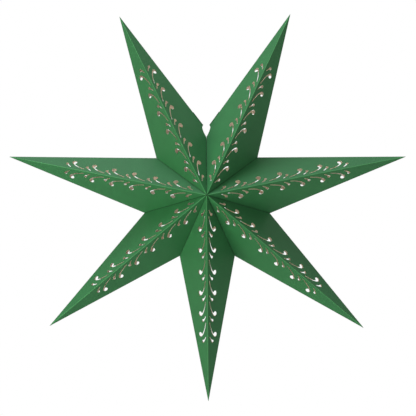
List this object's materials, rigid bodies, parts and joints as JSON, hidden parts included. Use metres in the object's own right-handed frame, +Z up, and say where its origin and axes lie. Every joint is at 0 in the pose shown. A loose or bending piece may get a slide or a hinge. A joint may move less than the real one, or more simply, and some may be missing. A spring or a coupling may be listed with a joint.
{
  "type": "paper star lamp shade",
  "caption": "Hanging star lamp shade of folded paper points, die-cut with rows of curled scrolls, with a notch at the top for the cord.",
  "frame": {"origin": "middle of the cord opening between the two upper points, in the star's middle plane, 111.6 mm above the star's axis", "axes": "+Z up along the hanging cord, -Y towards the front of the star, +X to the right as seen from the front"},
  "size_m": [0.6854, 0.17, 0.667],
  "materials": {
    "green_paper": "matt, dyed green outside and pale inside",
    "seam_pad": "matt"
  },
  "bodies": {
    "root": {"point_1": "green_paper", "point_2": "green_paper", "point_3": "green_paper", "point_4": "green_paper", "point_5": "green_paper", "point_6": "green_paper", "point_7": "green_paper", "seam_pad_front": "seam_pad", "seam_pad_back": "seam_pad"}
  },
  "joints": []
}
